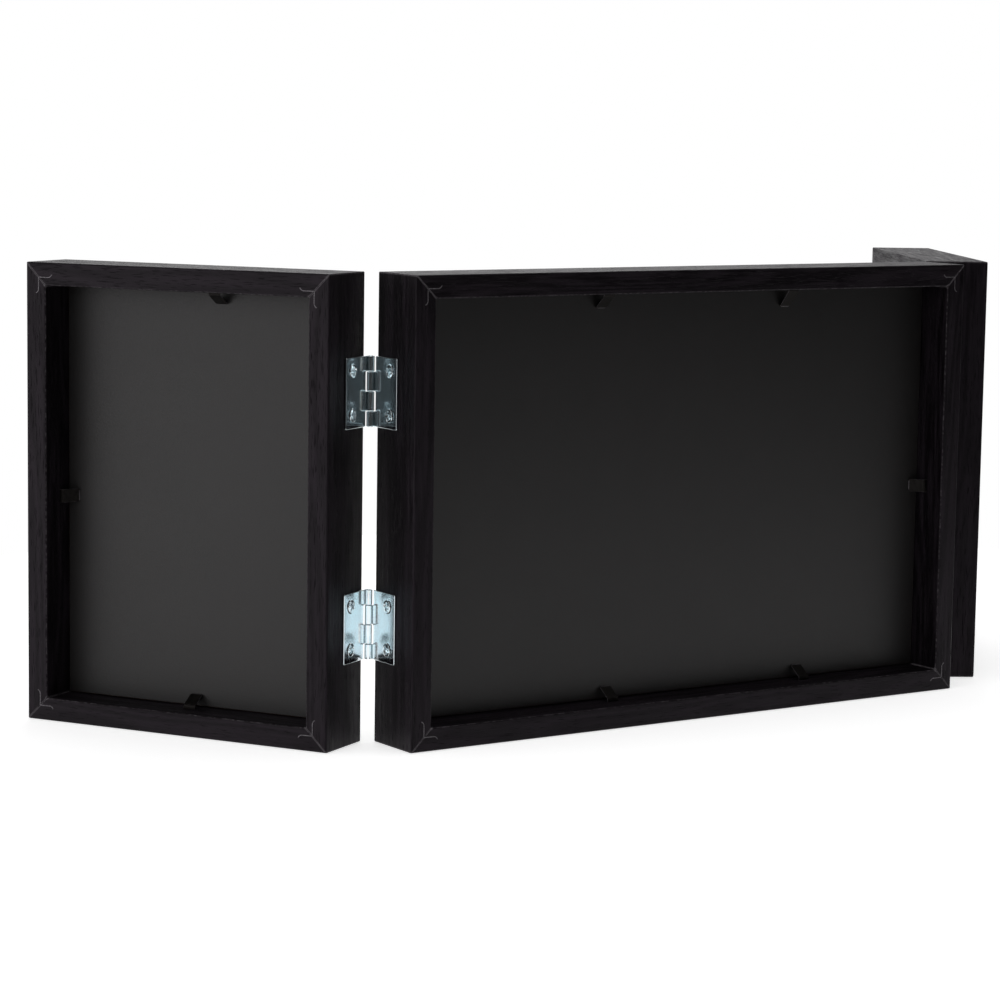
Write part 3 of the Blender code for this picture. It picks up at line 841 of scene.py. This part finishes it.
def leaf_skin(hinge):
    """Outer skin of a leaf about the pin's axis, which is Z: its points and its cells of metal.

    From its free edge the skin runs straight to the tangent point and on round the pin on a
    circle of the knuckle's radius. The free corners follow a quarter circle. Cells beside the
    other leaf's knuckles are left out. The knuckles widen into the leaf on a quarter circle.
    """
    radius, half = hinge.knuckle_radius, hinge.height / 2
    bore = radius - hinge.leaf_thickness
    end = math.acos((bore - hinge.curl_slit) / radius) - 2 * math.pi
    # The first step is long enough to hold the rounded edge at the curl's end
    turn = np.concatenate(([end], np.linspace(end + 1.25 * hinge.leaf_edge / bore, 0, 56)))
    length = AXIS_PROUD + hinge.leaf_on_rail
    corner = hinge.leaf_corner
    notch = radius + hinge.notch_gap
    curve = np.radians(np.linspace(0, 90, 7))
    neck = notch - hinge.notch_round + hinge.notch_round * np.sin(curve)
    straight = np.concatenate((neck, length - corner * (1 - np.sin(curve))))
    x = np.concatenate((radius * np.cos(turn), 0 * straight + radius))
    y = np.concatenate((radius * np.sin(turn), straight))
    reach = np.full(len(x), half)
    reach[-len(curve):] -= corner * (1 - np.cos(curve))
    split = half - hinge.end_knuckle
    gap = hinge.knuckle_gap / 2
    z = np.array((-half, -split + gap, -gap, split + gap, half))
    height = np.broadcast_to(z, (len(x), len(z))).copy()
    height[:, 0], height[:, -1] = -reach, reach
    widened = slice(len(turn), len(turn) + len(neck))
    height[widened, 1:4] += hinge.notch_round * (1 - np.cos(curve))[:, None] * np.array((-1, 1, -1))
    x, y = (np.broadcast_to(part[:, None], height.shape) for part in (x, y))
    metal = np.ones((len(x) - 1, len(z) - 1), bool)
    bare = len(turn) + len(neck) - 1
    metal[:bare, 0] = metal[:bare, 2] = False
    return np.stack((x, y, height), -1), metal


def sink_mesh(hinge, rise):
    """Cutter for one countersunk hole: a 45 degree cone down to the shank, eased at the face."""
    head = hinge.head_radius + hinge.sink_gap
    shank = hinge.shank_radius + hinge.sink_gap
    # The eased rim leaves the cone 0.06 mm under the face and slopes at half the cone's angle
    eased = np.array(((0.16, 2), (0.16, 0.04), (-0.06, -0.06))) * MM + (head, 0)
    profile = np.concatenate((eased, ((shank, shank - head), (shank, -3 * MM))))
    mesh = solid("sink", turned(profile, 48))
    bore = hinge.knuckle_radius - hinge.leaf_thickness
    place = (bore, AXIS_PROUD + hinge.leaf_on_rail - hinge.screw_edge, rise)
    mesh.transform(Matrix.Translation(place) @ QUARTER_BACK)
    return mesh


def leaf_mesh(hinge):
    """A whole leaf: the skin given its thickness, its edges rounded, then countersunk twice."""
    grid, metal = leaf_skin(hinge)
    rows, columns = grid.shape[:2]
    here = np.arange(rows - 1)[:, None] * columns + np.arange(columns - 1)[None]
    faces = np.stack((here, here + columns, here + columns + 1, here + 1), -1)[metal]
    used, faces = np.unique(faces, return_inverse=True)
    mesh = bpy.data.meshes.new("leaf")
    mesh.from_pydata(grid.reshape(-1, 3)[used].tolist(), [], faces.reshape(-1, 4).tolist())
    helper = linked("leaf", mesh)
    wall = helper.modifiers.new("wall", "SOLIDIFY")
    wall.thickness = hinge.leaf_thickness
    wall.offset = -1
    wall.use_even_offset = True
    flat = helper.modifiers.new("flat", "DECIMATE")
    flat.decimate_type = "DISSOLVE"
    flat.angle_limit = math.radians(1)
    soft = helper.modifiers.new("edges", "BEVEL")
    soft.width = hinge.leaf_edge
    soft.segments = 4
    soft.use_clamp_overlap = False
    soft.limit_method = "ANGLE"
    soft.angle_limit = math.radians(35)
    tools = []
    for rise in (-hinge.screw_spacing / 2, hinge.screw_spacing / 2):
        tools.append(linked("sink", sink_mesh(hinge, rise)))
        cut = helper.modifiers.new("sink", "BOOLEAN")
        cut.operation = "DIFFERENCE"
        cut.object = tools[-1]
    worked_out = helper.evaluated_get(bpy.context.evaluated_depsgraph_get())
    made = bpy.data.meshes.new_from_object(worked_out)
    for done in (helper, *tools):
        bpy.data.objects.remove(done)
    return made


def pin_mesh(hinge):
    """The pin: a rod whose ends turn on a quarter circle."""
    half = hinge.height / 2 + hinge.pin_proud
    turn = np.radians(np.linspace(0, 85, 7))
    radius = hinge.pin_radius - hinge.pin_round * (1 - np.cos(turn))
    height = half - hinge.pin_round * (1 - np.sin(turn))
    profile = np.concatenate((np.stack((radius, -height), 1)[::-1], np.stack((radius, height), 1)))
    return solid("pin", turned(profile, 40))


def screw_mesh(hinge, turn):
    """A countersunk screw: a rounded rim and a dome that falls as the radius squared.

    Its recess is the deeper of two crossed bars. A bar's depth falls off smoothly over its
    walls and tapers towards its tips.
    """
    head, shank, length = hinge.head_radius, hinge.shank_radius, hinge.screw_length
    bend = np.radians(np.linspace(0, 65, 6))
    rim = np.stack((head - hinge.rim_round * (1 - np.cos(bend)), hinge.rim_round * np.sin(bend)), 1)
    top = np.linspace(1, 0.08, 45)[1:] * rim[-1, 0]
    # From the point: a blunt tip on the last quarter, the shank, the cone and its broken edge
    below = np.array(((SCREW_POINT, -length), (shank * 0.8, -length * 0.8), (shank, -length * 0.72),
                      (shank, shank - head), (head - RIM_BREAK, -RIM_BREAK)))
    dome = rim[-1, 1] + (hinge.head_dome - rim[-1, 1]) * (1 - (top / rim[-1, 0]) ** 2)
    profile = np.concatenate((below, rim, np.stack((top, dome), 1)))
    grid = turned(profile, 144)
    first = len(below) + len(rim)
    across = grid[first:, :, 0] * math.cos(turn) + grid[first:, :, 1] * math.sin(turn)
    along = grid[first:, :, 1] * math.cos(turn) - grid[first:, :, 0] * math.sin(turn)

    def bar(u, v):
        """Depth share of one bar at a point across and along it: 1 inside, falling to 0 outside."""
        side = np.clip((hinge.recess_arm / 2 - np.abs(u)) / RECESS_WALL + 0.5, 0, 1)
        tip = np.clip((hinge.recess_span / 2 - np.abs(v)) / RECESS_TAPER, 0, 1)
        return side * side * (3 - 2 * side) * tip

    grid[first:, :, 2] -= hinge.recess_depth * np.maximum(bar(across, along), bar(along, across))
    return solid("screw", grid)


def hinge_rows(hinge):
    """Each hinge of a wing and the level of its middle above the panel's underside."""
    rise = PANEL_HEIGHT / 2 - hinge.end_inset - hinge.height / 2
    for row, height in (("top", PANEL_HEIGHT / 2 + rise), ("bottom", PANEL_HEIGHT / 2 - rise)):
        yield row, Matrix.Translation((0, 0, height))


def hinge_leaves(wing, level):
    """Each leaf of a wing's hinge at a level: its role, body, place and the way it faces."""
    axis = axis_place(wing)
    for role, body, place, facing in (("wing", wing, axis @ swing(wing), FACING[wing]),
                                      ("centre", "centre_panel", axis, -FACING[wing])):
        turn = Matrix.Rotation(0 if facing > 0 else math.pi, 4, "Y")
        yield role, body, place @ level @ turn, facing


class TRIFOLD_OT_hinges(bpy.types.Operator):
    """Makes the eight hinge leaves and the four pins"""

    bl_idname = "trifold.hinges"
    bl_label = "Hinge Leaves and Pins"

    def execute(self, context):
        hinge = context.scene.frame_hinge
        leaf = leaf_mesh(hinge)
        for wing in FACING:
            for row, level in hinge_rows(hinge):
                name = f"{wing.split('_')[0]}_{row}_hinge"
                finished(f"{name}_pin_rod", pin_mesh(hinge), axis_place(wing) @ level,
                         zinc_plated_steel, "centre_panel", f"{name}_pin")
                for role, body, seat, _ in hinge_leaves(wing, level):
                    finished(f"{name}_{role}_leaf_plate", leaf.copy(), seat, zinc_plated_steel,
                             body, f"{name}_{role}_leaf")
        return {"FINISHED"}


class TRIFOLD_OT_screws(bpy.types.Operator):
    """Makes the sixteen countersunk screws"""

    bl_idname = "trifold.screws"
    bl_label = "Hinge Screws"

    def execute(self, context):
        hinge = context.scene.frame_hinge
        face = hinge.knuckle_radius - hinge.leaf_thickness - hinge.head_proud
        depth = AXIS_PROUD + hinge.leaf_on_rail - hinge.screw_edge
        turns = iter(SCREW_TURNS)
        for wing in FACING:
            for row, level in hinge_rows(hinge):
                for role, body, seat, facing in hinge_leaves(wing, level):
                    for label, step in (("upper", 1), ("lower", -1)):
                        rise = facing * step * hinge.screw_spacing / 2
                        head = Matrix.Translation((face, depth, rise)) @ QUARTER_BACK
                        node = f"{wing.split('_')[0]}_{row}_hinge_{role}_screw_{label}"
                        mesh = screw_mesh(hinge, math.radians(next(turns)))
                        finished(f"{node}_turned", mesh, seat @ head, zinc_plated_steel,
                                 body, node, 50)
        return {"FINISHED"}


# Stage


def seen_by(add, *rays):
    """1 for the rays of the given kinds, and 0 for all others."""
    total = 0
    for ray in rays:
        total = add("Math", (add("LightPath", out=ray), total), operation="MAXIMUM")
    return total


def studio_world():
    """White behind everything, and a soft studio round it for what lights and what mirrors.

    The studio's brightness is a dim base plus smooth lobes. A lobe rises with the cosine of the
    angle to its middle.
    """
    world = bpy.data.worlds.new("studio")
    world.use_nodes = True
    add = partial(add_node, world.node_tree)
    studio = world.node_tree.nodes["Background"]
    way = add("TexCoord", out="Generated")
    total = STUDIO_BASE
    for middle, low, high, strength in STUDIO_LOBES:
        cosine = add("VectorMath", (way, middle), "Value", operation="DOT_PRODUCT")
        lobe = add("MapRange", (cosine, low, high, 0, strength))
        total = add("Math", (lobe, total), operation="ADD")
    set_sockets(studio, {"Color": (1, 0.99, 1, 1), "Strength": total})
    plain = add("Background", {"Color": (1, 1, 1, 1), "Strength": 1})
    seen = seen_by(add, "Is Camera Ray", "Is Transmission Ray")
    both = add("MixShader", (seen, studio.outputs[0], plain))
    set_sockets(world.node_tree.nodes["World Output"], {"Surface": both})
    bpy.context.scene.world = world


def studio_floor(colours):
    """Matt pale vinyl: its own colour under the lamps, lifted to white where the camera sees it."""
    material, shader, add = new_material("pale_vinyl_floor")
    set_sockets(shader, {
        "Base Color": (*colours.floor, 1),
        "Roughness": 0.9,
        "Specular IOR Level": 0,
    })
    lift = add("Emission", {"Color": (1, 1, 1, 1), "Strength": FLOOR_LIFT})
    lifted = add("AddShader", (shader.outputs[0], lift))
    seen = seen_by(add, "Is Camera Ray", "Is Transmission Ray", "Is Glossy Ray")
    mixed = add("MixShader", (seen, shader.outputs[0], lifted))
    set_sockets(material.node_tree.nodes["Material Output"], {"Surface": mixed})
    return material


def camera_matrix(place, yaw, pitch, roll):
    """Camera axes from its heading from -Y towards +X, its tilt and its roll, in radians."""
    ahead = np.array((math.sin(yaw), -math.cos(yaw), 0))
    right = np.array((-math.cos(yaw), -math.sin(yaw), 0))
    up = np.array((0, 0, 1))
    ahead, up = (math.cos(pitch) * ahead + math.sin(pitch) * up,
                 math.cos(pitch) * up - math.sin(pitch) * ahead)
    right, up = (math.cos(roll) * right + math.sin(roll) * up,
                 math.cos(roll) * up - math.sin(roll) * right)
    matrix = Matrix.Identity(4)
    for column, axis in enumerate((right, up, -ahead, place)):
        for row in range(3):
            matrix[row][column] = axis[row]
    return matrix


class TRIFOLD_OT_stage(bpy.types.Operator):
    """Sets the camera, the lamps, the floor and the background"""

    bl_idname = "trifold.stage"
    bl_label = "Stage"

    def execute(self, context):
        scene = context.scene
        scene.view_settings.view_transform = "Standard"
        lens = bpy.data.cameras.new("camera")
        lens.sensor_width = SENSOR_WIDTH
        lens.lens = CAMERA_LENS
        camera = linked("camera", lens)
        camera.matrix_world = camera_matrix(CAMERA_PLACE, *CAMERA_TURN)
        scene.camera = camera
        turn = np.linspace(0, 2 * math.pi, 96, endpoint=False)
        disc = np.stack((np.cos(turn), np.sin(turn), 0 * turn), -1) * FLOOR_RADIUS
        mesh = bpy.data.meshes.new("floor")
        mesh.from_pydata((disc - (0, 0, FLOOR_DROP)).tolist(), [], [list(range(len(disc)))])
        mesh.materials.append(studio_floor(scene.frame_colours))
        floor = linked("floor", mesh)
        for name, (place, size, watts) in SOFT_BOXES.items():
            light = bpy.data.lights.new(name, "AREA")
            light.size = size
            light.energy = watts
            lamp = linked(name, light)
            lamp.location = place
            way = Vector(LAMP_AIM) - lamp.location
            lamp.rotation_euler = way.to_track_quat("-Z", "Y").to_euler()
        studio_world()
        return {"FINISHED"}


# Panel and registration


OPERATORS = (
    TRIFOLD_OT_rails,
    TRIFOLD_OT_corner_nails,
    TRIFOLD_OT_glazing,
    TRIFOLD_OT_tabs,
    TRIFOLD_OT_hinges,
    TRIFOLD_OT_screws,
    TRIFOLD_OT_stage,
)
GROUPS = {
    "frame_moulding": MouldingSizes,
    "frame_glazing": GlazingSizes,
    "frame_hinge": HingeSizes,
    "frame_colours": FrameColours,
}


class VIEW3D_PT_trifold(bpy.types.Panel):
    """Lists the frame's pieces and their sizes"""

    bl_label = "Trifold Photo Frame"
    bl_idname = "VIEW3D_PT_trifold"
    bl_space_type = "VIEW_3D"
    bl_region_type = "UI"
    bl_category = "Trifold Frame"

    def draw(self, context):
        for operator in OPERATORS:
            self.layout.operator(operator.bl_idname)
        for key, group in GROUPS.items():
            box = self.layout.box()
            for name in group.__annotations__:
                box.prop(getattr(context.scene, key), name)


CLASSES = (*GROUPS.values(), *OPERATORS, VIEW3D_PT_trifold)


def register():
    """Adds the classes and the scene's settings."""
    for item in CLASSES:
        bpy.utils.register_class(item)
    for key, group in GROUPS.items():
        setattr(bpy.types.Scene, key, PointerProperty(type=group))


def unregister():
    """Removes them again."""
    for key in GROUPS:
        delattr(bpy.types.Scene, key)
    for item in reversed(CLASSES):
        bpy.utils.unregister_class(item)


def main():
    """Makes every piece in order."""
    register()
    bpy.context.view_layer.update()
    bpy.ops.trifold.rails()
    bpy.ops.trifold.corner_nails()
    bpy.ops.trifold.glazing()
    bpy.ops.trifold.tabs()
    bpy.ops.trifold.hinges()
    bpy.ops.trifold.screws()
    bpy.ops.trifold.stage()


if __name__ == "__main__":
    main()
